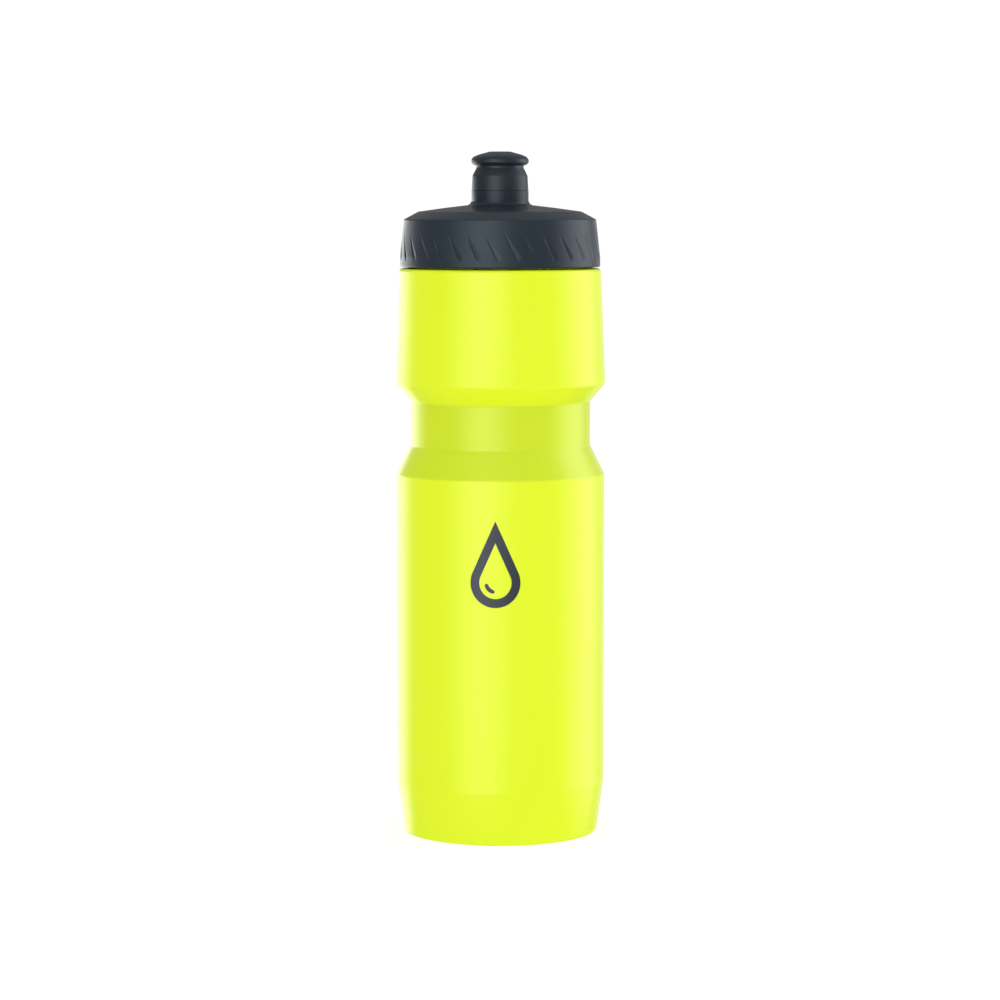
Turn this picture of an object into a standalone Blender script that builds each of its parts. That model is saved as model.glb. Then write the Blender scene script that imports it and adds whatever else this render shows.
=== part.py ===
"""Cycling water bottle: squeeze body, screw cap and pull-up nozzle.

Metres, +Z up. The bottle stands on z = 0 and its axis is the world Z axis.
Shapes are written in millimetres and scaled once, when a mesh is made.
"""

import bmesh
import bpy
import math
from mathutils import Matrix, Vector

MM = 0.001

# Segments around the axis for wide and for narrow pieces.
WIDE = 48
NARROW = 32
SEAL_SIDES = 6

# Squeeze body (mm). The lower half is the width that a bottle cage takes.
LOWER_RADIUS = 37.0
WAIST_RADIUS = 31.95
WAIST_BOTTOM = 137.57
WAIST_TOP = 153.2
CORNER_RADIUS = 37.27
CORNER_HEIGHT = 159.4
SHOULDER_RADIUS = 35.62
SHOULDER_HEIGHT = 199.9
TAPER_HEIGHT = 18.64
FOOT_RADIUS = 34.2
WALL = 1.3

# Neck and its screw thread (mm).
NECK_OUTER = 30.9
NECK_BORE = 29.2
NECK_TOP = 213.9
THREAD_PITCH = 5.0
THREAD_TURNS = 1.5
THREAD_CREST = 32.0
THREAD_START = 203.2

# Screw cap (mm).
CAP_BOTTOM = 200.4
CAP_BORE = 32.5
CAP_CEILING = 215.6
CAP_THREAD_CREST = 31.3
CAP_THREAD_DROP = 1.68
CAP_THREAD_DELAY = 60.0
GRIP_GROOVES = 32
GRIP_BOTTOM = 202.9
GRIP_TOP = 213.3
GRIP_LEAN = 8.3
GRIP_DEPTH = 0.5

# Spout (mm).
TOWER_RADIUS = 6.5
TOWER_BORE = 4.8
TOWER_TOP = 231.6
WELL_RADIUS = 9.4
BOSS_BORE = 10.3
BOSS_TOP = 223.4
WELL_FLOOR = 218.6
SEAL_HEIGHT = 229.55
SLEEVE_BORE = 7.0
SLEEVE_RADIUS = 7.7
COLLAR_BOTTOM = 223.3
COLLAR_TOP = 227.1
NOZZLE_BOTTOM = 227.4
NOZZLE_TOP = 240.9
ORIFICE = 3.3
PLUG_RADIUS = 3.0


def clear_scene():
    for obj in list(bpy.data.objects):
        bpy.data.objects.remove(obj, do_unlink=True)


def material(name, colour, roughness, metallic=0.0):
    made = bpy.data.materials.new(name)
    made.use_nodes = True
    shader = made.node_tree.nodes["Principled BSDF"]
    shader.inputs["Base Color"].default_value = (*colour, 1.0)
    shader.inputs["Roughness"].default_value = roughness
    shader.inputs["Metallic"].default_value = metallic
    made.diffuse_color = (*colour, 1.0)
    return made


def rounded(corners):
    """The outline through (r, z, fillet) corners, with each fillet drawn as an arc."""
    points = []
    count = len(corners)
    for i, (r, z, fillet) in enumerate(corners):
        here = Vector((r, z))
        if fillet <= 0:
            points.append((r, z))
            continue
        before = (Vector(corners[i - 1][:2]) - here).normalized()
        after = (Vector(corners[(i + 1) % count][:2]) - here).normalized()
        half = before.angle(after) / 2
        reach = fillet / math.tan(half)
        centre = here + (before + after).normalized() * fillet / math.sin(half)
        first = here + before * reach - centre
        last = here + after * reach - centre
        turn = math.pi - 2 * half
        steps = max(1, round(turn / math.radians(50)))
        for step in range(steps + 1):
            share = step / steps
            weight_first = math.sin((1 - share) * turn) / math.sin(turn)
            weight_last = math.sin(share * turn) / math.sin(turn)
            point = centre + first * weight_first + last * weight_last
            points.append((point.x, point.y))
    return points


def lathe(name, outline, segments, look, parent=None, closed=True):
    """A solid of revolution about Z. An outline that isn't closed starts and ends on the axis."""
    mesh = bmesh.new()
    rings = []
    for r, z in outline:
        if r == 0:
            rings.append([mesh.verts.new((0, 0, z * MM))])
            continue
        ring = []
        for i in range(segments):
            angle = 2 * math.pi * i / segments
            ring.append(mesh.verts.new((r * MM * math.cos(angle), r * MM * math.sin(angle), z * MM)))
        rings.append(ring)
    pairs = list(zip(rings, rings[1:]))
    if closed:
        pairs.append((rings[-1], rings[0]))
    for low, high in pairs:
        for i in range(segments):
            j = (i + 1) % segments
            if len(low) == 1:
                mesh.faces.new((low[0], high[j], high[i]))
            elif len(high) == 1:
                mesh.faces.new((low[i], low[j], high[0]))
            else:
                mesh.faces.new((low[i], low[j], high[j], high[i]))
    return finish(name, mesh, look, parent)


def finish(name, mesh, look, parent=None):
    """The object of a bmesh, with its faces turned outwards and smooth between sharp edges."""
    bmesh.ops.recalc_face_normals(mesh, faces=mesh.faces)
    data = bpy.data.meshes.new(name)
    mesh.to_mesh(data)
    mesh.free()
    if look:
        data.materials.append(look)
    data.shade_smooth()
    data.set_sharp_from_angle(angle=math.radians(30))
    obj = bpy.data.objects.new(name, data)
    bpy.context.scene.collection.objects.link(obj)
    if parent:
        obj.parent = parent
        obj.matrix_parent_inverse = parent.matrix_world.inverted()
    return obj


def helper(obj):
    obj.hide_render = True
    obj.display_type = "WIRE"


def boolean(obj, other, operation):
    modifier = obj.modifiers.new(other.name, "BOOLEAN")
    modifier.operation = operation
    modifier.solver = "EXACT"
    modifier.object = other
    helper(other)


def thread(name, root, crest, start_height, start_angle, segments):
    """A helical ridge from the root radius to the crest radius, which fades in and out at its ends."""
    root_half = 1.0
    crest_half = 0.5
    steps = round(THREAD_TURNS * segments)
    fade = segments / 12
    mesh = bmesh.new()
    sections = []
    for step in range(steps + 1):
        angle = math.radians(start_angle) + 2 * math.pi * step / segments
        height = start_height + THREAD_PITCH * angle / (2 * math.pi)
        share = min(1.0, step / fade, (steps - step) / fade)
        tip = root + (crest - root) * share
        buried = root - math.copysign(0.5, crest - root)
        section = []
        for radius, offset in (
            (buried, -root_half),
            (tip, -crest_half),
            (tip, crest_half),
            (buried, root_half),
        ):
            x = radius * math.cos(angle)
            y = radius * math.sin(angle)
            section.append(mesh.verts.new((x * MM, y * MM, (height + offset) * MM)))
        sections.append(section)
    for first, second in zip(sections, sections[1:]):
        for i in range(4):
            j = (i + 1) % 4
            mesh.faces.new((first[i], first[j], second[j], second[i]))
    mesh.faces.new(sections[0])
    mesh.faces.new(sections[-1])
    return finish(name, mesh, None)


def axis_empty(name, height, parent=None):
    """An empty on the bottle's axis, at this height in the world."""
    empty = bpy.data.objects.new(name, None)
    empty.empty_display_size = 0.01
    bpy.context.scene.collection.objects.link(empty)
    empty.location = (0, 0, height * MM)
    if parent:
        empty.parent = parent
        empty.location.z -= parent.matrix_world.translation.z
    bpy.context.view_layer.update()
    return empty


def build_body(look):
    inner_lower = LOWER_RADIUS - WALL
    inner_waist = WAIST_RADIUS - WALL
    inner_corner = CORNER_RADIUS - WALL
    outline = rounded(
        [
            (FOOT_RADIUS, 0, 1.4),
            (LOWER_RADIUS, TAPER_HEIGHT, 0),
            (LOWER_RADIUS, 127.4, 0),
            (WAIST_RADIUS, WAIST_BOTTOM, 1.2),
            (WAIST_RADIUS, WAIST_TOP, 1.2),
            (CORNER_RADIUS, CORNER_HEIGHT, 1.8),
            (SHOULDER_RADIUS, SHOULDER_HEIGHT, 1.2),
            (NECK_OUTER, SHOULDER_HEIGHT, 0),
            (NECK_OUTER, NECK_TOP, 0.5),
            (NECK_BORE, NECK_TOP, 0.5),
            (NECK_BORE, 198.4, 1.5),
            (SHOULDER_RADIUS - WALL, 198.4, 1.5),
            (inner_corner, CORNER_HEIGHT + 0.4, 1.0),
            (inner_waist, WAIST_TOP + 0.5, 0),
            (inner_waist, WAIST_BOTTOM - 0.5, 0),
            (inner_lower, 126.9, 0),
            (inner_lower, TAPER_HEIGHT + 0.2, 0),
            (32.9, 1.7, 1.6),
            (28.2, 1.7, 1.6),
            (23.5, 5.6, 0),
            (0, 6.4, 0),
            (0, 4.8, 0),
            (24.0, 4.0, 0),
            (28.0, 0, 0.8),
        ]
    )
    # The outline runs up the outside, over the rim and down the inside to the axis, then back out.
    start = outline.index((0, 4.8))
    outline = outline[start:] + outline[:start]
    body = lathe("bottle_body", outline, WIDE, look, closed=False)
    ridge = thread("neck_thread", NECK_OUTER, THREAD_CREST, THREAD_START, 0, WIDE)
    boolean(body, ridge, "UNION")
    return body


def grip_cutters():
    """Slanted blades, one for each grip groove: a steep wall on one side, a long slope on the other."""
    mesh = bmesh.new()
    for k in range(GRIP_GROOVES):
        foot_angle = math.radians(360 * k / GRIP_GROOVES - 91.2)
        rings = []
        for height, width, depth in (
            (GRIP_BOTTOM, 0.6, 0.15),
            (GRIP_BOTTOM + 1.8, 2.0, GRIP_DEPTH),
            (GRIP_TOP, 0.4, 0.08),
        ):
            rise = (height - GRIP_BOTTOM) / (GRIP_TOP - GRIP_BOTTOM)
            angle = foot_angle - math.radians(GRIP_LEAN) * rise
            surface = 35.35 - (height - 201.4) * 0.094
            along = Vector((-math.sin(angle), math.cos(angle), 0))
            outward = Vector((math.cos(angle), math.sin(angle), 0))
            ring = []
            for side, radius in (
                (0, surface - depth),
                (width, surface + 0.03),
                (width, 37.5),
                (-0.25, 37.5),
                (-0.25, surface - 0.3 * depth),
            ):
                point = outward * radius + along * side + Vector((0, 0, height))
                ring.append(mesh.verts.new(point * MM))
            rings.append(ring)
        for low, high in zip(rings, rings[1:]):
            for i in range(5):
                j = (i + 1) % 5
                mesh.faces.new((low[i], low[j], high[j], high[i]))
        mesh.faces.new(rings[0])
        mesh.faces.new(rings[-1])
    return finish("grip_cutters", mesh, None)


def build_cap(look, parent):
    outline = rounded(
        [
            (TOWER_BORE, TOWER_TOP, 0),
            (TOWER_BORE, 221.7, 0),
            (4.0, 221.7, 0),
            (4.0, 217.0, 0),
            (11.0, 217.0, 0),
            (11.6, 219.7, 0),
            (19.4, 219.3, 0),
            (27.0, 218.2, 0),
            (27.0, 211.1, 0.4),
            (28.6, 211.1, 0.4),
            (28.6, CAP_CEILING, 0),
            (CAP_BORE, CAP_CEILING, 0),
            (CAP_BORE, CAP_BOTTOM, 0.5),
            (35.38, CAP_BOTTOM, 0.7),
            (35.3, 204.2, 0),
            (34.6, 210.5, 0),
            (33.87, 217.1, 0.5),
            (28.75, 219.85, 1.2),
            (19.4, 221.15, 0),
            (12.3, 221.95, 0),
            (11.1, 222.3, 0),
            (10.65, BOSS_TOP, 0),
            (BOSS_BORE, BOSS_TOP, 0),
            (BOSS_BORE, 223.0, 0),
            (WELL_RADIUS, 223.0, 0),
            (WELL_RADIUS, WELL_FLOOR, 0),
            (TOWER_RADIUS, WELL_FLOOR, 0),
            (TOWER_RADIUS, SEAL_HEIGHT - 0.65, 0),
            (5.8, SEAL_HEIGHT - 0.65, 0),
            (5.8, SEAL_HEIGHT + 0.65, 0),
            (TOWER_RADIUS, SEAL_HEIGHT + 0.65, 0),
            (TOWER_RADIUS, TOWER_TOP, 0.4),
        ]
    )
    cap = lathe("cap_shell", outline, WIDE, look, parent)
    start = THREAD_START - CAP_THREAD_DROP
    ridge = thread("cap_thread", CAP_BORE, CAP_THREAD_CREST, start, CAP_THREAD_DELAY, WIDE)
    boolean(cap, ridge, "UNION")
    boolean(cap, grip_cutters(), "DIFFERENCE")
    return cap


def build_gasket(look, parent):
    outline = [(28.9, 214.2), (32.1, 214.2), (32.1, 215.35), (28.9, 215.35)]
    return lathe("cap_gasket", outline, WIDE, look, parent)


def build_collar(look, parent):
    outline = rounded(
        [
            (8.4, 219.6, 0),
            (9.15, 219.6, 0),
            (9.15, COLLAR_BOTTOM, 0),
            (10.02, COLLAR_BOTTOM, 0),
            (10.0, COLLAR_TOP, 0.2),
            (9.6, COLLAR_TOP, 0),
            (9.6, COLLAR_TOP - 0.4, 0),
            (7.95, COLLAR_TOP - 0.4, 0),
            (7.95, 226.35, 0),
            (8.4, 225.9, 0),
        ]
    )
    return lathe("spout_collar", outline, NARROW, look, parent)


def build_seal(look, parent):
    outline = []
    for i in range(SEAL_SIDES):
        angle = 2 * math.pi * i / SEAL_SIDES
        outline.append((6.4 + 0.45 * math.cos(angle), SEAL_HEIGHT + 0.45 * math.sin(angle)))
    return lathe("spout_seal", outline, NARROW, look, parent)


def build_plug(look, parent):
    """A stem with a round head, held by three fins in the tower's bore."""
    outline = [
        (0, 222.0),
        (1.6, 222.0),
        (1.6, 234.8),
        (PLUG_RADIUS, 237.6),
        (PLUG_RADIUS, 239.7),
        (2.3, 240.4),
        (0, 240.55),
    ]
    plug = lathe("valve_plug", outline, 20, look, parent, closed=False)
    for k in range(3):
        fin = bmesh.new()
        bmesh.ops.create_cube(fin, size=1.0)
        bmesh.ops.scale(fin, vec=(3.8 * MM, 1.2 * MM, 7.0 * MM), verts=fin.verts)
        bmesh.ops.translate(fin, vec=(2.6 * MM, 0, 225.5 * MM), verts=fin.verts)
        rotation = Matrix.Rotation(2 * math.pi * k / 3 + math.pi / 2, 3, "Z")
        bmesh.ops.rotate(fin, cent=(0, 0, 0), matrix=rotation, verts=fin.verts)
        boolean(plug, finish(f"plug_fin_{k + 1}", fin, None), "UNION")
    return plug


def build_sleeve(look, parent):
    outline = rounded(
        [
            (SLEEVE_BORE, 219.0, 0),
            (8.15, 219.0, 0),
            (8.15, 220.0, 0),
            (SLEEVE_RADIUS, 220.4, 0),
            (SLEEVE_RADIUS, 233.2, 0.5),
            (6.2, 233.2, 0),
            (6.2, 237.4, 0.4),
            (4.2, 237.4, 0),
            (4.2, 232.2, 0),
            (SLEEVE_BORE, 232.2, 0),
        ]
    )
    return lathe("nozzle_sleeve", outline, NARROW, look, parent)


def build_mouthpiece(look, parent):
    outline = rounded(
        [
            (7.95, NOZZLE_BOTTOM - 0.4, 0),
            (9.3, NOZZLE_BOTTOM - 0.4, 0),
            (9.3, NOZZLE_BOTTOM, 0),
            (9.95, NOZZLE_BOTTOM, 0.2),
            (9.7, 232.3, 0),
            (8.95, 233.9, 0),
            (8.35, 235.2, 0),
            (8.35, 235.9, 0),
            (9.6, 236.4, 0),
            (10.12, 237.0, 0),
            (10.12, 238.1, 0),
            (9.4, 239.1, 0),
            (7.6, 239.9, 0),
            (5.3, 240.55, 0),
            (3.7, NOZZLE_TOP, 0),
            (ORIFICE, NOZZLE_TOP - 0.2, 0),
            (ORIFICE, 237.75, 0),
            (6.45, 237.75, 0),
            (6.45, 233.45, 0),
            (7.95, 233.45, 0),
        ]
    )
    return lathe("mouthpiece", outline, NARROW, look, parent)


clear_scene()

soft_yellow = material("neon_squeeze_plastic", (0.78, 0.9, 0.03), 0.35)
cap_grey = material("satin_cap_plastic", (0.035, 0.045, 0.06), 0.35)
seal_grey = material("seal_rubber", (0.12, 0.12, 0.12), 0.7)
collar_grey = material("satin_collar_plastic", (0.04, 0.05, 0.065), 0.35)
plug_grey = material("plug_plastic", (0.2, 0.22, 0.24), 0.4)
sleeve_grey = material("sleeve_plastic", (0.05, 0.06, 0.075), 0.3)
mouth_grey = material("mouthpiece_rubber", (0.03, 0.038, 0.05), 0.45)
ring_rubber = material("o_ring_rubber", (0.02, 0.02, 0.02), 0.6)

build_body(soft_yellow)
lift_axis = axis_empty("cap_lift_axis", CAP_BOTTOM)
cap_axis = axis_empty("cap_turn_axis", CAP_BOTTOM, lift_axis)
build_gasket(seal_grey, lift_axis)
build_cap(cap_grey, cap_axis)
build_collar(collar_grey, cap_axis)
build_plug(plug_grey, cap_axis)
build_seal(ring_rubber, cap_axis)
nozzle_axis = axis_empty("nozzle_pull_axis", CAP_BOTTOM, cap_axis)
build_sleeve(sleeve_grey, nozzle_axis)
build_mouthpiece(mouth_grey, nozzle_axis)
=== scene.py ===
"""Cycling water bottle on a pale studio floor, seen from the front, a little from above.

Every piece but the plug's fins and the print is turned about the bottle's own axis. The outer sizes come
from the boxes of the CAD nodes, and the other sizes are written in millimetres.
"""

import math

import bpy
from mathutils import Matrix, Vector

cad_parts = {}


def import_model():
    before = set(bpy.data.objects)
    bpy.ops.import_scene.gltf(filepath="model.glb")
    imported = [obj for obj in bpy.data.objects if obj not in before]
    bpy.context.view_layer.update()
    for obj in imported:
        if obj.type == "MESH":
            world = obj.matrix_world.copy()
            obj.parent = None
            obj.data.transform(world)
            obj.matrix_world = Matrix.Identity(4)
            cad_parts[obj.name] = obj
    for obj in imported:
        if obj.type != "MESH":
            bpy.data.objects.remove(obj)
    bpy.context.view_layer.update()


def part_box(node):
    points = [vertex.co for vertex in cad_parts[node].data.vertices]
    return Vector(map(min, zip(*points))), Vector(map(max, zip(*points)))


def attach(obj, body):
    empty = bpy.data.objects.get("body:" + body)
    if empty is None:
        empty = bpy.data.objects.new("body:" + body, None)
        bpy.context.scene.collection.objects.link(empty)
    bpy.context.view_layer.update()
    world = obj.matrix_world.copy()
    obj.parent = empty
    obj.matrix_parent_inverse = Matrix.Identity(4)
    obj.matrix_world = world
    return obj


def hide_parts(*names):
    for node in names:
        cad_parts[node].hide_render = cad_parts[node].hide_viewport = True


MM = 0.001

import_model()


# ---------------------------------------------------------------- sizes in millimetres

def low(node):
    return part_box(node)[0] / MM


def high(node):
    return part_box(node)[1] / MM


CORNER_RADIUS = high("bottle_body").x
NECK_TOP = high("bottle_body").z
CAP_BOTTOM = low("cap_shell").z
TOWER_TOP = high("cap_shell").z
COLLAR_TOP = high("spout_collar").z
NOZZLE_TOP = high("mouthpiece").z
NOZZLE_BOTTOM = low("mouthpiece").z
LIP_RADIUS = high("mouthpiece").x
SEAL_HEIGHT = (low("spout_seal").z + high("spout_seal").z) / 2

# The body's outline from the foot up, then its wall, the neck, the cap's bore and the spout's well.
LOWER_RADIUS = 37.0
TAPER_HEIGHT = 18.64
CONE_BOTTOM = 127.4
WAIST_RADIUS = 31.95
WAIST_BOTTOM = 137.57
WAIST_TOP = 153.2
CORNER_HEIGHT = 159.4
SHOULDER_RADIUS = 35.62
SHOULDER_HEIGHT = 199.9
WALL = 1.3
NECK_OUTER = 30.9
NECK_BORE = 29.2
CAP_BORE = 32.5
WELL_FLOOR = 218.6

# Screw threads: heights and depths in mm, angles in degrees.
THREAD_PITCH = 5.0
THREAD_START = 203.2
THREAD_TURNS = 1.5
NECK_THREAD_DEPTH = 1.1
CAP_THREAD_DEPTH = 1.2
CAP_THREAD_DROP = 1.68
CAP_THREAD_DELAY = 60

# Grip grooves on the cap's side. DEEPEST is a share of the width, WIDEST a share of the height, and
# LEAN and FIRST are angles. The rings of the side are twisted along the grooves, up to the bevel.
GRIP_GROOVES = 32
GRIP_BOTTOM = 202.8
GRIP_TOP = 213.4
GRIP_LEAN = 8.3
GRIP_WIDTH = 2.1
GRIP_DEEPEST = 0.16
GRIP_WALL = 0.3
GRIP_WIDEST = 0.16
GRIP_FIRST = -91.2
SIDE_RADIUS = 33.6
SIDE_BOTTOM = CAP_BOTTOM + 0.6
SIDE_TOP = 217.0
TWIST_TOP = 216.9

# The printed drop: a circle with a point above it, and a short arc for its glint.
DROP_TALL = 30.0
DROP_RADIUS = 8.7
DROP_STROKE = 3.1
DROP_ACROSS = -1.6
DROP_HEIGHT = 92.5
GLINT_RADIUS = 3.2
PRINT_PROUD = 0.03
PRINT_SUNK = 0.05


# ---------------------------------------------------------------- mesh making

SHARP_ANGLE = 32


def rounded(corners, arc_step=9.0):
    """The outline through (r, z, fillet) corners, with each fillet drawn as an arc."""
    points = []
    count = len(corners)
    for i, (r, z, fillet) in enumerate(corners):
        here = Vector((r, z))
        if fillet <= 0:
            points.append((r, z))
            continue
        before = (Vector(corners[i - 1][:2]) - here).normalized()
        after = (Vector(corners[(i + 1) % count][:2]) - here).normalized()
        half = before.angle(after) / 2
        reach = fillet / math.tan(half)
        centre = here + (before + after).normalized() * fillet / math.sin(half)
        first = here + before * reach - centre
        last = here + after * reach - centre
        turn = math.pi - 2 * half
        steps = max(2, round(math.degrees(turn) / arc_step))
        for step in range(steps + 1):
            share = step / steps
            weight_first = math.sin((1 - share) * turn) / math.sin(turn)
            weight_last = math.sin(share * turn) / math.sin(turn)
            point = centre + first * weight_first + last * weight_last
            points.append((point.x, point.y))
    return points


def filled(points, inside, step):
    """The outline with extra points, at most this far apart, where both ends of an edge are inside."""
    made = []
    for i, here in enumerate(points):
        after = points[(i + 1) % len(points)]
        made.append(here)
        if not (inside(*here) and inside(*after)):
            continue
        pieces = math.ceil(math.dist(here, after) / step)
        for k in range(1, pieces):
            share = k / pieces
            made.append((here[0] + (after[0] - here[0]) * share, here[1] + (after[1] - here[1]) * share))
    return made


def lathe(
    name, outline, segments=160, closed=True, relief=None, segments_at=None, twist=None, start=0.0
):
    """A solid of revolution about Z. closed joins the last ring to the first. relief(angle, r, z)
    gives a point's own radius, segments_at(r, z) the number of points in its ring, and twist(r, z)
    the ring's turn."""
    rings = []
    verts = []
    for r, z in outline:
        if r == 0:
            rings.append([len(verts)])
            verts.append((0, 0, z * MM))
            continue
        count = segments_at(r, z) if segments_at else segments
        turn = twist(r, z) if twist else 0.0
        ring = []
        for i in range(count):
            angle = start + 2 * math.pi * i / count
            radius = (relief(angle, r, z) if relief else r) * MM
            angle += turn
            ring.append(len(verts))
            verts.append((radius * math.cos(angle), radius * math.sin(angle), z * MM))
        rings.append(ring)
    pairs = list(zip(rings, rings[1:]))
    if closed:
        pairs.append((rings[-1], rings[0]))
    faces = []
    for a, b in pairs:
        coarse = min(len(a), len(b))
        if coarse == 1:
            tip, rim = (a, b) if len(a) == 1 else (b, a)
            for i in range(len(rim)):
                edge = (rim[i], rim[(i + 1) % len(rim)])
                faces.append((tip[0], *edge) if rim is a else (tip[0], edge[1], edge[0]))
            continue
        step_a = len(a) // coarse
        step_b = len(b) // coarse
        for i in range(coarse):
            side_a = [a[(i * step_a + k) % len(a)] for k in range(step_a + 1)]
            side_b = [b[(i * step_b + k) % len(b)] for k in range(step_b + 1)]
            faces.append(tuple(side_a + side_b[::-1]))
    return solid(name, verts, faces)


def solid(name, verts, faces):
    """A smooth-shaded object, with its faces turned outwards."""
    mesh = bpy.data.meshes.new(name)
    mesh.from_pydata(verts, [], faces)
    mesh.update()
    volume = 0.0
    for polygon in mesh.polygons:
        corners = [mesh.vertices[i].co for i in polygon.vertices]
        for k in range(1, len(corners) - 1):
            volume += corners[0].dot(corners[k].cross(corners[k + 1]))
    if volume < 0:
        mesh.flip_normals()
    mesh.shade_smooth()
    mesh.set_sharp_from_angle(angle=math.radians(SHARP_ANGLE))
    obj = bpy.data.objects.new(name, mesh)
    bpy.context.scene.collection.objects.link(obj)
    return obj


def thread_height(angle, z, start, first, last, half_root=1.0, half_crest=0.5):
    """0 to 1: how far a thread's ridge stands at this angle and height. The ridge runs between
    the turns first and last, in radians, and fades at both ends."""
    best = 0.0
    for turn in range(4):
        at = angle + 2 * math.pi * turn
        if not first <= at <= last:
            continue
        away = abs(z - start - THREAD_PITCH * at / (2 * math.pi))
        ridge = min(1.0, max(0.0, (half_root - away) / (half_root - half_crest)))
        fade = min(1.0, (at - first) / 0.5, (last - at) / 0.5)
        best = max(best, ridge * fade)
    return best


# ---------------------------------------------------------------- pieces

def make_body():
    inner_lower = LOWER_RADIUS - WALL
    inner_waist = WAIST_RADIUS - WALL
    inner_corner = CORNER_RADIUS - WALL
    outline = rounded(
        [
            (34.5, 0, 0.9),
            (LOWER_RADIUS, TAPER_HEIGHT, 6.0),
            (LOWER_RADIUS, CONE_BOTTOM, 1.2),
            (WAIST_RADIUS, WAIST_BOTTOM, 1.6),
            (WAIST_RADIUS, WAIST_TOP, 1.4),
            (CORNER_RADIUS, CORNER_HEIGHT, 1.8),
            (SHOULDER_RADIUS, SHOULDER_HEIGHT, 1.2),
            (NECK_OUTER, SHOULDER_HEIGHT, 0.4),
            (NECK_OUTER, NECK_TOP, 0.6),
            (NECK_BORE, NECK_TOP, 0.6),
            (NECK_BORE, 198.4, 2.0),
            (SHOULDER_RADIUS - WALL, 198.4, 2.5),
            (inner_corner, CORNER_HEIGHT + 0.4, 1.0),
            (inner_waist, WAIST_TOP + 0.5, 2.0),
            (inner_waist, WAIST_BOTTOM - 0.5, 2.0),
            (inner_lower, 126.9, 2.0),
            (inner_lower, TAPER_HEIGHT + 0.2, 6.0),
            (32.9, 1.7, 1.8),
            (28.2, 1.7, 1.8),
            (23.5, 5.6, 3.0),
            (0, 6.4, 0),
            (0, 4.8, 0),
            (24.0, 4.0, 2.0),
            (28.0, 0, 0.8),
        ]
    )
    start = outline.index((0, 4.8))
    outline = outline[start:] + outline[:start]

    def on_neck(r, z):
        return abs(r - NECK_OUTER) < 0.02 and z > SHOULDER_HEIGHT

    def relief(angle, r, z):
        if not on_neck(r, z):
            return r
        ridge = thread_height(angle, z, THREAD_START, 0, THREAD_TURNS * 2 * math.pi)
        return r + NECK_THREAD_DEPTH * ridge

    outline = filled(outline, on_neck, 0.25)
    return lathe("squeeze_body", outline, 240, closed=False, relief=relief)


def groove_rise(z):
    return (z - GRIP_BOTTOM) / (GRIP_TOP - GRIP_BOTTOM)


def groove_twist(r, z):
    """How far the cap's ring at this height is turned, so that its points follow the grooves."""
    if r < SIDE_RADIUS or z < SIDE_BOTTOM:
        return 0.0
    rise = groove_rise(z)
    back = max(0.0, (z - GRIP_TOP) / (TWIST_TOP - GRIP_TOP))
    return -math.radians(GRIP_LEAN) * max(0.0, min(1.0, rise) - back)


def groove_depth(angle, z, radius):
    """Depth of the grip grooves on the cap's side, at an angle counted along the twisted ring:
    a steep wall, then a long slope out to the surface."""
    rise = groove_rise(z)
    if not 0 < rise < 1:
        return 0.0
    opening = min(1.0, math.sqrt(rise / GRIP_WIDEST))
    closing = 1 - max(0.0, rise - GRIP_WIDEST) / (1 - GRIP_WIDEST)
    width = GRIP_WIDTH * opening * closing
    pitch = 2 * math.pi / GRIP_GROOVES
    across = (angle - math.radians(GRIP_FIRST) + pitch / 2) % pitch - pitch / 2
    across *= radius
    deepest = GRIP_DEEPEST * width
    if -GRIP_WALL < across <= 0:
        wall = across / GRIP_WALL + 1
        return deepest * wall * wall * (3 - 2 * wall)
    if 0 < across < width:
        return deepest * (1 - across / width)
    return 0.0


def make_cap():
    seal_low = SEAL_HEIGHT - 0.65
    seal_high = SEAL_HEIGHT + 0.65
    outline = rounded(
        [
            (4.8, TOWER_TOP, 0.3),
            (4.8, 221.7, 0),
            (4.0, 221.7, 0),
            (4.0, 217.0, 0.4),
            (8.0, 217.0, 0),
            (11.0, 217.0, 0.6),
            (11.6, 219.7, 1.0),
            (19.4, 219.3, 0),
            (27.0, 218.2, 0.8),
            (27.0, 211.1, 0.45),
            (28.6, 211.1, 0.45),
            (28.6, 215.6, 0.2),
            (CAP_BORE, 215.6, 0.3),
            (CAP_BORE, CAP_BOTTOM, 0.5),
            (35.38, CAP_BOTTOM, 0.7),
            (35.3, 204.2, 0),
            (34.6, 210.5, 0),
            (33.87, 217.1, 0.55),
            (28.75, 219.85, 2.5),
            (19.4, 221.15, 8.0),
            (11.4, 222.1, 0.5),
            (10.5, 222.6, 0.5),
            (10.32, 223.3, 0.05),
            (10.2, 223.3, 0.03),
            (10.2, 223.0, 0.1),
            (9.4, 223.0, 0.1),
            (9.4, WELL_FLOOR, 0),
            (8.0, WELL_FLOOR, 0),
            (6.5, WELL_FLOOR, 0.2),
            (6.5, seal_low, 0.1),
            (5.8, seal_low, 0),
            (5.8, seal_high, 0),
            (6.5, seal_high, 0.1),
            (6.5, TOWER_TOP, 0.5),
        ]
    )

    first = math.radians(CAP_THREAD_DELAY)
    last = first + THREAD_TURNS * 2 * math.pi

    def on_side(r, z):
        return r > SIDE_RADIUS and SIDE_BOTTOM < z < SIDE_TOP

    def on_bore(r, z):
        return abs(r - CAP_BORE) < 0.02 and z < 215

    def relief(angle, r, z):
        if on_side(r, z):
            return r - groove_depth(angle, z, r)
        if on_bore(r, z):
            ridge = thread_height(angle, z, THREAD_START - CAP_THREAD_DROP, first, last)
            return r - CAP_THREAD_DEPTH * ridge
        return r

    def segments_at(r, z):
        on_tower = r <= 8.0
        return 128 if on_tower else 1024

    outline = filled(outline, on_side, 0.3)
    outline = filled(outline, on_bore, 0.3)
    return lathe(
        "screw_cap", outline, relief=relief, segments_at=segments_at, twist=groove_twist,
        start=math.radians(GRIP_FIRST),
    )


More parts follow.
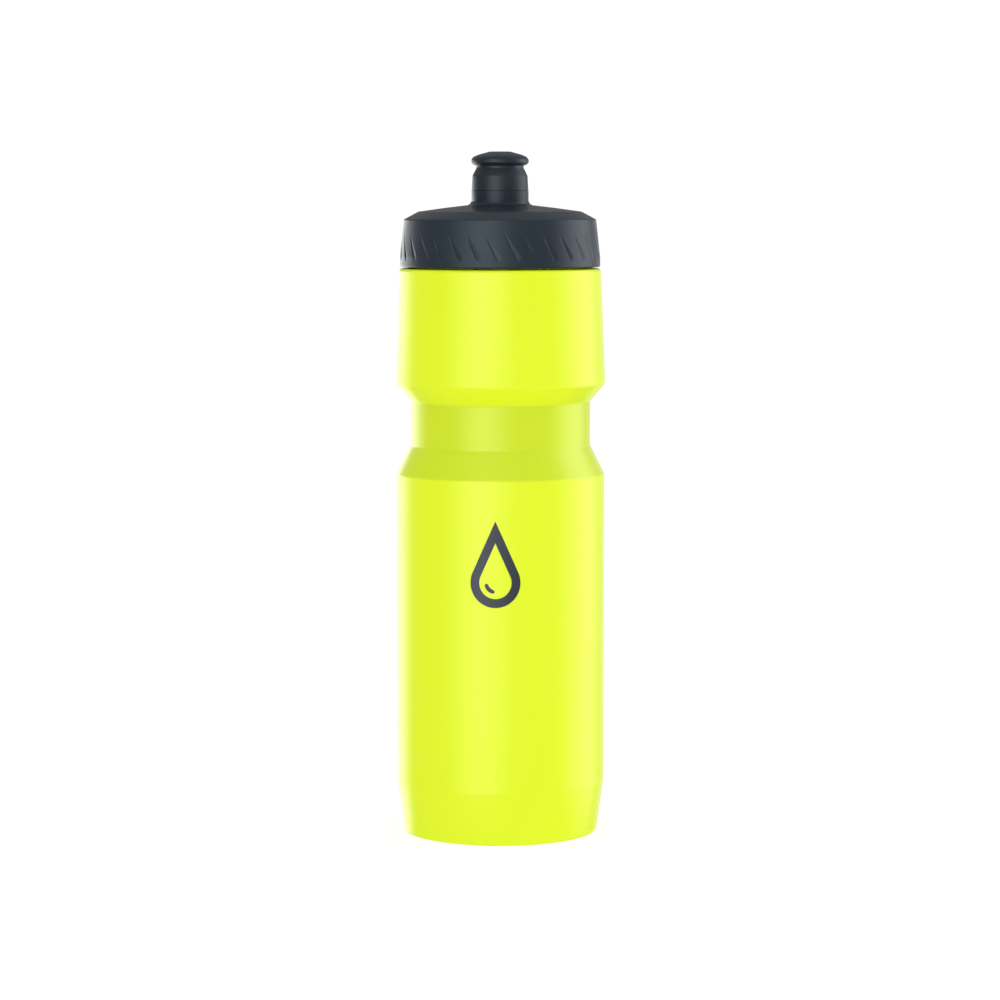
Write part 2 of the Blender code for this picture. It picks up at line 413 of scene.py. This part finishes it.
def make_gasket():
    base = low("cap_gasket").z
    top = high("cap_gasket").z
    outline = rounded([(28.9, base, 0.3), (32.1, base, 0.3), (32.1, top, 0.3), (28.9, top, 0.3)])
    return lathe("flat_gasket", outline, 192)


def make_collar():
    outline = rounded(
        [
            (8.4, 219.6, 0.1),
            (9.15, 219.6, 0.1),
            (9.15, 223.15, 0),
            (10.1, 223.15, 0.1),
            (10.06, COLLAR_TOP + 0.1, 0.1),
            (9.6, COLLAR_TOP + 0.1, 0.1),
            (9.6, COLLAR_TOP - 0.4, 0.1),
            (7.95, COLLAR_TOP - 0.4, 0.1),
            (7.95, 226.35, 0),
            (8.4, 225.9, 0),
        ]
    )
    return lathe("nozzle_collar", outline, 160)


def make_seal():
    sides = 24
    outline = []
    for i in range(sides):
        angle = 2 * math.pi * i / sides
        outline.append((6.4 + 0.45 * math.cos(angle), SEAL_HEIGHT + 0.39 * math.sin(angle)))
    return lathe("tower_o_ring", outline, 128)


def make_plug():
    outline = [
        (0, 222.0),
        (1.6, 222.0),
        (1.6, 234.6),
        (1.7, 235.0),
        (2.9, 237.4),
        (3.0, 237.8),
        (3.0, 239.5),
        (2.9, 239.85),
        (2.65, 240.15),
        (2.3, 240.35),
        (1.4, 240.5),
        (0, 240.54),
    ]
    stem = lathe("plug_stem", outline, 96, closed=False)
    fins = []
    for k in range(3):
        angle = 2 * math.pi * k / 3 + math.pi / 2
        along = Vector((math.cos(angle), math.sin(angle), 0))
        across = Vector((-along.y, along.x, 0))
        corners = []
        for reach in (1.2, 4.45):
            for side in (-0.55, 0.55):
                for z in (222.0, 229.0):
                    corners.append((along * reach + across * side + Vector((0, 0, z))) * MM)
        faces = [(0, 1, 3, 2), (4, 6, 7, 5), (0, 4, 5, 1), (2, 3, 7, 6), (0, 2, 6, 4), (1, 5, 7, 3)]
        fins.append(solid(f"plug_fin_{k + 1}", corners, faces))
    return stem, fins


def make_sleeve():
    base = low("nozzle_sleeve").z
    top = high("nozzle_sleeve").z
    outline = rounded(
        [
            (7.0, base, 0.15),
            (8.15, base, 0.15),
            (8.15, base + 1.0, 0.1),
            (7.7, base + 1.4, 0.1),
            (7.7, 233.2, 0.5),
            (6.2, 233.2, 0.1),
            (6.2, top, 0.4),
            (4.2, top, 0.2),
            (4.2, 232.2, 0.2),
            (7.0, 232.2, 0.1),
        ]
    )
    return lathe("nozzle_inner_sleeve", outline, 160)


def make_mouthpiece():
    foot = NOZZLE_BOTTOM + 0.4
    outline = rounded(
        [
            (7.95, NOZZLE_BOTTOM, 0.1),
            (9.3, NOZZLE_BOTTOM, 0.1),
            (9.3, foot - 0.16, 0.1),
            (10.0, foot - 0.16, 0.1),
            (9.72, 232.3, 0.9),
            (8.95, 233.9, 3.0),
            (8.32, 235.1, 1.2),
            (8.32, 235.9, 0.3),
            (9.5, 236.3, 0.6),
            (LIP_RADIUS, 236.95, 0.6),
            (LIP_RADIUS, 238.05, 1.0),
            (9.35, 239.05, 1.5),
            (7.4, 239.85, 5.0),
            (5.1, 240.47, 5.0),
            (3.55, NOZZLE_TOP, 0.35),
            (3.3, NOZZLE_TOP - 0.3, 0.2),
            (3.3, 237.75, 0),
            (6.45, 237.75, 0),
            (6.45, 233.45, 0),
            (7.95, 233.45, 0),
        ]
    )
    return lathe("soft_mouthpiece", outline, 192)


def film(name, strips):
    """A closed skin of print lying on the front of the bottle. Each strip is a grid of (across, z)
    rows, and the last row joins the first where its flag says so."""
    verts = []
    faces = []
    for rows, joined in strips:
        wide = len(rows[0])
        start = len(verts)
        for radius in (LOWER_RADIUS + PRINT_PROUD, LOWER_RADIUS - PRINT_SUNK):
            for row in rows:
                for across, z in row:
                    angle = across / LOWER_RADIUS - math.pi / 2
                    verts.append((radius * math.cos(angle) * MM, radius * math.sin(angle) * MM, z * MM))
        layer = len(rows) * wide

        def at(i, j, under=0):
            return start + under * layer + (i % len(rows)) * wide + j

        spans = len(rows) if joined else len(rows) - 1
        for i in range(spans):
            for j in range(wide - 1):
                square = ((i, j), (i + 1, j), (i + 1, j + 1), (i, j + 1))
                faces.append(tuple(at(*corner) for corner in square))
                faces.append(tuple(at(*corner, 1) for corner in reversed(square)))
            faces.append((at(i, 0), at(i, 0, 1), at(i + 1, 0, 1), at(i + 1, 0)))
            faces.append((at(i, wide - 1), at(i + 1, wide - 1), at(i + 1, wide - 1, 1), at(i, wide - 1, 1)))
        if not joined:
            last = len(rows) - 1
            for j in range(wide - 1):
                faces.append((at(0, j), at(0, j + 1), at(0, j + 1, 1), at(0, j, 1)))
                faces.append((at(last, j), at(last, j, 1), at(last, j + 1, 1), at(last, j + 1)))
    return solid(name, verts, faces)


def make_drop():
    """A plain water drop in outline, with a short curved glint inside it."""
    reach = DROP_TALL - DROP_RADIUS
    open_half = math.acos(DROP_RADIUS / reach)
    outer = []
    arc = 60
    for i in range(arc + 1):
        angle = math.pi / 2 + open_half + (2 * math.pi - 2 * open_half) * i / arc
        outer.append((DROP_RADIUS * math.cos(angle), DROP_RADIUS * math.sin(angle)))
    first = outer[0]
    last = outer[-1]
    side = 14
    for i in range(1, side + 1):
        share = i / side
        outer.append((last[0] * (1 - share), last[1] + (reach - last[1]) * share))
    for i in range(1, side):
        share = i / side
        outer.append((first[0] * share, reach + (first[1] - reach) * share))
    rows = []
    for across, up in outer:
        row = []
        for k in range(6):
            scale = 1 - DROP_STROKE / DROP_RADIUS * k / 5
            row.append((DROP_ACROSS + across * scale, DROP_HEIGHT + up * scale))
        rows.append(row)
    glint = []
    for i in range(17):
        angle = math.radians(184 + 82 * i / 16)
        thick = 0.7 * math.sqrt(max(0.02, 1 - (i / 8 - 1) ** 4))
        row = []
        for k in range(4):
            radius = GLINT_RADIUS + thick * (1 - 2 * k / 3)
            row.append((DROP_ACROSS + radius * math.cos(angle), DROP_HEIGHT + radius * math.sin(angle)))
        glint.append(row)
    return film("printed_drop", [(rows, True), (glint, False)])


body = make_body()
drop = make_drop()
cap = make_cap()
gasket = make_gasket()
collar = make_collar()
seal = make_seal()
plug, plug_fins = make_plug()
sleeve = make_sleeve()
mouthpiece = make_mouthpiece()


# ---------------------------------------------------------------- materials

# Noise scales are in cells a metre. Its values hardly leave the middle of 0 to 1.
MOTTLE_SCALE = 45.0
SMUDGE_SCALE = 110.0
WAVE_SCALE = 28.0
GRAIN_DETAIL = 3.0
NOISE_RANGE = (0.2, 0.8)


def nodes_of(name):
    made = bpy.data.materials.new(name)
    made.use_nodes = True
    tree = made.node_tree
    return made, tree, tree.nodes["Principled BSDF"]


def noise(tree, place, scale, detail=1.0):
    """Noise over the object's own space, with its scale in cells a metre."""
    made = tree.nodes.new("ShaderNodeTexNoise")
    made.inputs["Scale"].default_value = scale
    made.inputs["Detail"].default_value = detail
    tree.links.new(place.outputs["Object"], made.inputs["Vector"])
    return made.outputs["Fac"]


def remapped(tree, value, source, target, smooth=False):
    """The value moved from one range to another and held at both ends."""
    made = tree.nodes.new("ShaderNodeMapRange")
    if smooth:
        made.interpolation_type = "SMOOTHSTEP"
    made.inputs["From Min"].default_value, made.inputs["From Max"].default_value = source
    made.inputs["To Min"].default_value, made.inputs["To Max"].default_value = target
    tree.links.new(value, made.inputs["Value"])
    return made.outputs["Result"]


def arithmetic(tree, operation, value, other=0.0):
    made = tree.nodes.new("ShaderNodeMath")
    made.operation = operation
    made.inputs[1].default_value = other
    tree.links.new(value, made.inputs[0])
    return made.outputs["Value"]


def colour_mix(tree, share, first, second):
    """From the first colour to the second, which is a colour or the output of a node."""
    made = tree.nodes.new("ShaderNodeMix")
    made.data_type = "RGBA"
    made.inputs["A"].default_value = (*first, 1)
    if isinstance(second, tuple):
        made.inputs["B"].default_value = (*second, 1)
    else:
        tree.links.new(second, made.inputs["B"])
    tree.links.new(share, made.inputs["Factor"])
    return made.outputs["Result"]


def bumped(tree, height, distance, under=None):
    """A normal raised by the height, which stands for this distance in metres."""
    made = tree.nodes.new("ShaderNodeBump")
    made.inputs["Strength"].default_value = 1.0
    made.inputs["Distance"].default_value = distance
    tree.links.new(height, made.inputs["Height"])
    if under:
        tree.links.new(under, made.inputs["Normal"])
    return made.outputs["Normal"]


def away_from_waist(tree, place):
    """0 on the waist and the cone under it, where shade is painted into the colour, and 1 on the rest of
    the bottle.
    """
    middle = (CONE_BOTTOM + WAIST_TOP) / 2
    reach = (WAIST_TOP - CONE_BOTTOM) / 2
    parts = tree.nodes.new("ShaderNodeSeparateXYZ")
    tree.links.new(place.outputs["Object"], parts.inputs["Vector"])
    height = arithmetic(tree, "SUBTRACT", parts.outputs["Z"], middle * MM)
    distance = arithmetic(tree, "ABSOLUTE", height)
    edge = ((reach - 0.6) * MM, (reach + 0.4) * MM)
    return remapped(tree, distance, edge, (0, 1), smooth=True)


def moulded(name, colour, dark, rough, rough_spread, grain, grain_depth, wave_depth=0.0, thick=None):
    """Moulded plastic or rubber: faintly mottled colour, uneven gloss and fine grain.
    thick is a darker colour painted on the waist and the cone under it: painted shade, standing in for the
    shade of the recess between the wider parts of the bottle."""
    made, tree, shader = nodes_of(name)
    place = tree.nodes.new("ShaderNodeTexCoord")

    mottle = remapped(tree, noise(tree, place, MOTTLE_SCALE), NOISE_RANGE, (0, 1))
    colour_out = colour_mix(tree, mottle, dark, colour)
    # Painted shade: the waist and the cone under it take the darker colour thick.
    if thick:
        colour_out = colour_mix(tree, away_from_waist(tree, place), thick, colour_out)

    smudge = noise(tree, place, SMUDGE_SCALE)
    rough_out = remapped(tree, smudge, NOISE_RANGE, (rough - rough_spread, rough + rough_spread))

    normal_out = bumped(tree, noise(tree, place, grain, GRAIN_DETAIL), grain_depth)
    if wave_depth:
        normal_out = bumped(tree, noise(tree, place, WAVE_SCALE), wave_depth, normal_out)

    tree.links.new(colour_out, shader.inputs["Base Color"])
    tree.links.new(rough_out, shader.inputs["Roughness"])
    tree.links.new(normal_out, shader.inputs["Normal"])
    return made, shader


neon, neon_shader = moulded(
    "neon_soft_polyethylene",
    colour=(0.79, 0.962, 0.0012),
    dark=(0.787, 0.96, 0.001),
    rough=0.31,
    rough_spread=0.02,
    grain=2600.0,
    grain_depth=0.000008,
    wave_depth=0.00002,
    # Painted shade: a darker yellow-green over the waist and the cone under it, standing in for the shade
    # of that recess.
    thick=(0.655, 0.81, 0.0012),
)
neon_shader.inputs["Subsurface Weight"].default_value = 0.15
neon_shader.inputs["Specular IOR Level"].default_value = 0.6
neon_shader.inputs["Subsurface Radius"].default_value = (1.0, 1.0, 0.2)
neon_shader.inputs["Subsurface Scale"].default_value = 0.002

slate = {"colour": (0.0205, 0.029, 0.040), "dark": (0.0185, 0.0265, 0.037)}
cap_plastic, cap_shader = moulded(
    "slate_satin_polypropylene",
    **slate,
    rough=0.34,
    rough_spread=0.05,
    grain=4200.0,
    grain_depth=0.000012,
)
collar_plastic, collar_shader = moulded(
    "slate_collar_plastic",
    **slate,
    rough=0.34,
    rough_spread=0.04,
    grain=4200.0,
    grain_depth=0.00001,
)
mouth_rubber, mouth_shader = moulded(
    "slate_soft_elastomer",
    colour=(0.018, 0.026, 0.036),
    dark=(0.016, 0.0235, 0.033),
    rough=0.40,
    rough_spread=0.04,
    grain=5200.0,
    grain_depth=0.000012,
)
sleeve_plastic, _ = moulded(
    "slate_sleeve_plastic",
    **slate,
    rough=0.33,
    rough_spread=0.04,
    grain=3000.0,
    grain_depth=0.000006,
)
plug_plastic, _ = moulded(
    "slate_plug_plastic",
    **slate,
    rough=0.34,
    rough_spread=0.04,
    grain=3000.0,
    grain_depth=0.000008,
)
gasket_rubber, _ = moulded(
    "grey_silicone",
    colour=(0.30, 0.31, 0.32),
    dark=(0.26, 0.27, 0.28),
    rough=0.6,
    rough_spread=0.06,
    grain=3800.0,
    grain_depth=0.00001,
)
ring_rubber, _ = moulded(
    "black_nitrile_rubber",
    colour=(0.012, 0.012, 0.013),
    dark=(0.009, 0.009, 0.010),
    rough=0.5,
    rough_spread=0.06,
    grain=5000.0,
    grain_depth=0.00001,
)
print_ink, _ = moulded(
    "slate_print_ink",
    colour=(0.030, 0.037, 0.055),
    dark=(0.026, 0.033, 0.050),
    rough=0.38,
    rough_spread=0.05,
    grain=2600.0,
    grain_depth=0.00001,
)

# The slate mouldings shine a little less than the shader's standard 0.5, with a bluish gloss.
for shader, level in (
    (cap_shader, 0.39),
    (collar_shader, 0.34),
    (mouth_shader, 0.46),
):
    shader.inputs["Specular IOR Level"].default_value = level
    shader.inputs["Specular Tint"].default_value = (0.82, 0.94, 1.0, 1.0)

for obj, look in (
    (body, neon),
    (drop, print_ink),
    (cap, cap_plastic),
    (gasket, gasket_rubber),
    (collar, collar_plastic),
    (seal, ring_rubber),
    (plug, plug_plastic),
    (sleeve, sleeve_plastic),
    (mouthpiece, mouth_rubber),
):
    obj.data.materials.append(look)
for fin in plug_fins:
    fin.data.materials.append(plug_plastic)


# ---------------------------------------------------------------- frame

for obj, node, carrier, finish in (
    (body, "bottle_body", "bottle", "squeeze_body"),
    (cap, "cap_shell", "cap", "cap"),
    (gasket, "cap_gasket", "cap_seal", "gasket"),
    (collar, "spout_collar", "cap", "collar"),
    (seal, "spout_seal", "cap", "o_ring"),
    (plug, "valve_plug", "cap", "plug"),
    (sleeve, "nozzle_sleeve", "nozzle", "sleeve"),
    (mouthpiece, "mouthpiece", "nozzle", "mouthpiece"),
):
    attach(obj, carrier)
    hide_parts(node)
for fin in plug_fins:
    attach(fin, "cap")
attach(drop, "bottle")


# ---------------------------------------------------------------- studio

FLOOR_RADIUS = 3.0
LIGHT_DISTANCE = 1.1
COLOUR_FILL = 1.0
FILL_LEAN = 0.14
GLOSS_FILL = 0.155
GLOSS_ABOVE = 0.36
GLOSS_TOWARD = (0, 0.5, 0.866)
WHITE_BEHIND = 1.05


def backdrop():
    """A pale floor, lit evenly enough to melt into the white behind it."""
    made, tree, shader = nodes_of("pale_floor")
    shader.inputs["Base Color"].default_value = (0.4, 0.4, 0.4, 1)
    shader.inputs["Roughness"].default_value = 0.9
    shader.inputs["Specular IOR Level"].default_value = 0.0
    shader.inputs["Emission Color"].default_value = (1, 1, 1, 1)
    shader.inputs["Emission Strength"].default_value = 0.72
    corners = []
    for i in range(96):
        angle = 2 * math.pi * i / 96
        corners.append((FLOOR_RADIUS * math.cos(angle), FLOOR_RADIUS * math.sin(angle), 0))
    mesh = bpy.data.meshes.new("studio_floor")
    mesh.from_pydata(corners, [], [tuple(range(96))])
    mesh.materials.append(made)
    floor = bpy.data.objects.new("studio_floor", mesh)
    floor.visible_glossy = False
    bpy.context.scene.collection.objects.link(floor)


def softbox(name, azimuth, halfwidth, radiance, feather=8.0, base=-0.38, top=0.9):
    """A tall light with feathered sides, which shows in the gloss only, so that the even fill
    stays even. Its three layers widen with distance. azimuth is counted from the viewer's side,
    positive to the right, and halfwidth and feather are angles too, all in degrees."""
    angle = math.radians(azimuth)
    for layer in (-1, 0, 1):
        distance = LIGHT_DISTANCE + 0.03 * layer
        width = 2 * distance * math.tan(math.radians(halfwidth + feather * layer))
        tall = top - base
        data = bpy.data.lights.new(name, "AREA")
        data.shape = "RECTANGLE"
        data.size = width
        data.size_y = tall
        data.energy = radiance / 3 * math.pi * width * tall
        lamp = bpy.data.objects.new(name, data)
        lamp.location = (distance * math.sin(angle), -distance * math.cos(angle), (top + base) / 2)
        lamp.rotation_euler = (math.radians(90), 0, angle)
        lamp.visible_camera = False
        lamp.visible_diffuse = False
        bpy.context.scene.collection.objects.link(lamp)


def background(tree, strength):
    made = tree.nodes.new("ShaderNodeBackground")
    made.inputs["Color"].default_value = (1, 1, 1, 1)
    made.inputs["Strength"].default_value = strength
    return made


def world():
    """White behind the object, an even fill for its colour that is a little stronger from the
    right, and a dimmer one for its gloss that is brighter from above and behind."""
    made = bpy.data.worlds.new("studio")
    made.use_nodes = True
    tree = made.node_tree
    link = tree.links.new
    ray = tree.nodes.new("ShaderNodeLightPath")
    place = tree.nodes.new("ShaderNodeTexCoord")

    parts = tree.nodes.new("ShaderNodeSeparateXYZ")
    link(place.outputs["Generated"], parts.inputs["Vector"])
    weakest = COLOUR_FILL * (1 - FILL_LEAN)
    strongest = COLOUR_FILL * (1 + FILL_LEAN)
    fill = background(tree, COLOUR_FILL)
    side = remapped(tree, parts.outputs["X"], (-1, 1), (weakest, strongest))
    link(side, fill.inputs["Strength"])

    above = tree.nodes.new("ShaderNodeVectorMath")
    above.operation = "DOT_PRODUCT"
    above.inputs[1].default_value = GLOSS_TOWARD
    link(place.outputs["Generated"], above.inputs[0])
    dim = background(tree, GLOSS_FILL)
    glow = remapped(
        tree, above.outputs["Value"], (0.1, 0.9), (GLOSS_FILL, GLOSS_ABOVE), smooth=True
    )
    link(glow, dim.inputs["Strength"])

    soft = tree.nodes.new("ShaderNodeMixShader")
    link(ray.outputs["Is Diffuse Ray"], soft.inputs["Fac"])
    link(dim.outputs["Background"], soft.inputs[1])
    link(fill.outputs["Background"], soft.inputs[2])
    seen = tree.nodes.new("ShaderNodeMixShader")
    link(ray.outputs["Is Camera Ray"], seen.inputs["Fac"])
    link(soft.outputs["Shader"], seen.inputs[1])
    link(background(tree, WHITE_BEHIND).outputs["Background"], seen.inputs[2])
    link(seen.outputs["Shader"], tree.nodes["World Output"].inputs["Surface"])
    # Sampled as a light, the world would lose the kinds of ray that its shader mixes by.
    made.cycles.sampling_method = "NONE"
    bpy.context.scene.world = made


backdrop()
world()
softbox("key_left", -21, 22, 2.25, feather=10)
softbox("rim_left", -147, 26, 2.9, feather=8, top=0.28)
softbox("strip_right", 103, 24, 2.1, feather=8)
softbox("rim_right", 158, 12, 0.8, feather=5, top=0.28)

camera_data = bpy.data.cameras.new("camera")
camera_data.lens = 117.2
camera_data.sensor_width = 36.0
camera_data.clip_start = 0.05
camera_data.clip_end = 50.0
camera = bpy.data.objects.new("camera", camera_data)
camera.location = (0, -1.15103, 0.22335)
camera.rotation_euler = (math.radians(84.762), 0, 0)
bpy.context.scene.collection.objects.link(camera)
bpy.context.scene.camera = camera

view = bpy.context.scene.view_settings
view.view_transform = "Standard"
view.look = "None"
view.exposure = 0.0
view.gamma = 1.0
